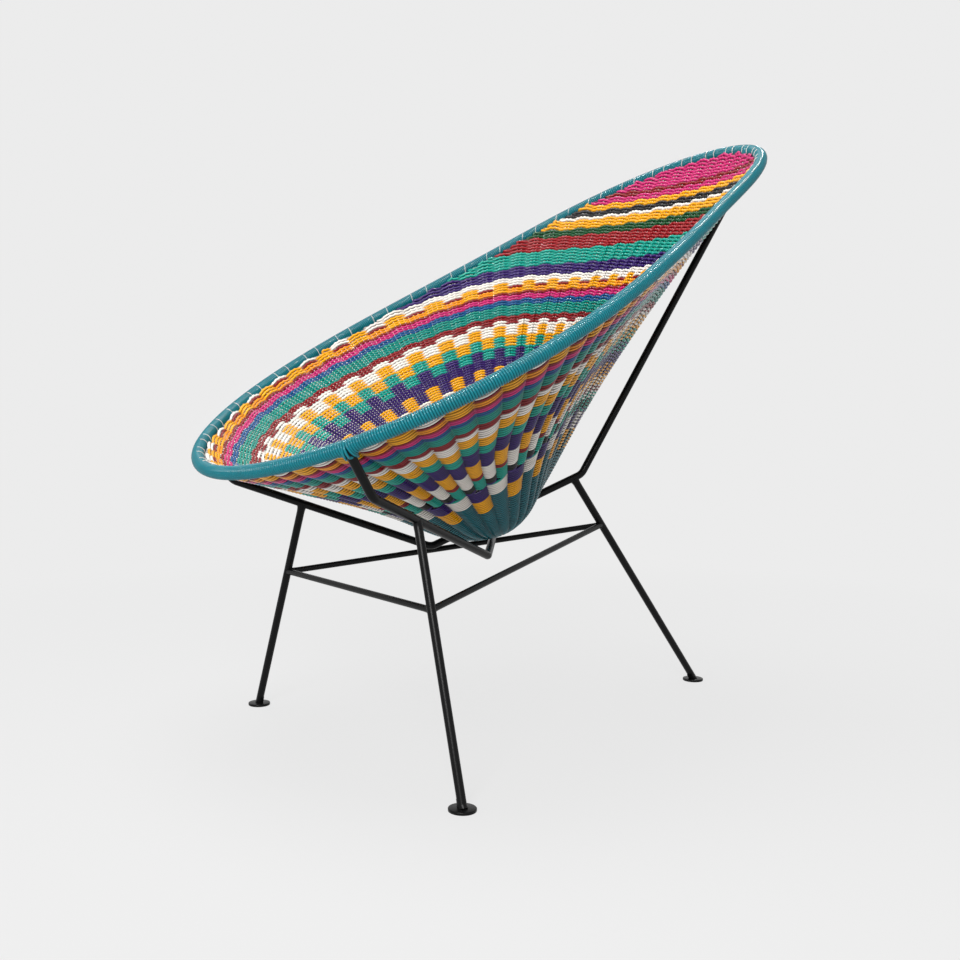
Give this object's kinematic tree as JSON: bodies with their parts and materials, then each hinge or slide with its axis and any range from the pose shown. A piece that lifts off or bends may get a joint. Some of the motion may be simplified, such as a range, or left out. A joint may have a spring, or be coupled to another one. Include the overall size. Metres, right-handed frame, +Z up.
{
  "type": "lounge chair",
  "caption": "Round-backed lounge chair: egg-shaped cord-wrapped steel ring, striped woven cone seat and a three-legged black rod frame.",
  "frame": {"origin": "on the floor under the middle of the bounding box; the three feet stand at z = 0", "axes": "+Z up, -Y towards the front edge of the seat, +X to the sitter's left; the chair is symmetric about X = 0 but for its crossed cradle rods"},
  "size_m": [0.6712, 0.9132, 0.9],
  "materials": {
    "cord_petrol": "glossy solid-coloured plastic cord",
    "cord_yellow": "glossy solid-coloured plastic cord",
    "cord_turquoise": "glossy solid-coloured plastic cord",
    "cord_white": "glossy solid-coloured plastic cord",
    "cord_purple": "glossy solid-coloured plastic cord",
    "cord_maroon": "glossy solid-coloured plastic cord",
    "cord_sea_green": "glossy solid-coloured plastic cord",
    "cord_navy": "glossy solid-coloured plastic cord",
    "cord_pink": "glossy solid-coloured plastic cord",
    "cord_orange": "glossy solid-coloured plastic cord",
    "cord_red": "glossy solid-coloured plastic cord",
    "cord_green": "glossy solid-coloured plastic cord",
    "cord_black": "glossy solid-coloured plastic cord",
    "frame": "satin black powder coat",
    "cord_teal": "glossy solid-coloured plastic cord"
  },
  "bodies": {
    "root": {"weave_nose_petrol": "cord_petrol", "weave_ring_yellow_check": "cord_yellow", "weave_ring_turquoise_check": "cord_turquoise", "weave_ring_white_check": "cord_white", "weave_ring_purple": "cord_purple", "weave_ring_turquoise": "cord_turquoise", "weave_ring_yellow": "cord_yellow", "weave_ring_white": "cord_white", "weave_ring_maroon": "cord_maroon", "weave_ring_sea_green": "cord_sea_green", "weave_ring_navy": "cord_navy", "weave_ring_pink": "cord_pink", "weave_ring_orange": "cord_orange", "weave_ring_outer_white": "cord_white", "weave_back_purple": "cord_purple", "weave_back_turquoise": "cord_turquoise", "weave_back_red": "cord_red", "weave_back_green": "cord_green", "weave_back_lower_yellow": "cord_yellow", "weave_back_white": "cord_white", "weave_back_black": "cord_black", "weave_back_upper_yellow": "cord_yellow", "weave_back_lower_pink": "cord_pink", "weave_back_dark_red": "cord_maroon", "weave_back_upper_pink": "cord_pink", "rim_ring": "frame", "rim_wrap_front": "cord_teal", "rim_wrap_left": "cord_teal", "rim_wrap_right": "cord_teal", "cradle_rod_left": "frame", "cradle_rod_right_rear": "frame", "leg_front_left": "frame", "foot_front_left": "frame", "leg_front_right": "frame", "foot_front_right": "frame", "leg_rear": "frame", "foot_rear": "frame", "stretcher_front": "frame", "stretcher_left": "frame", "stretcher_right": "frame"}
  },
  "joints": []
}
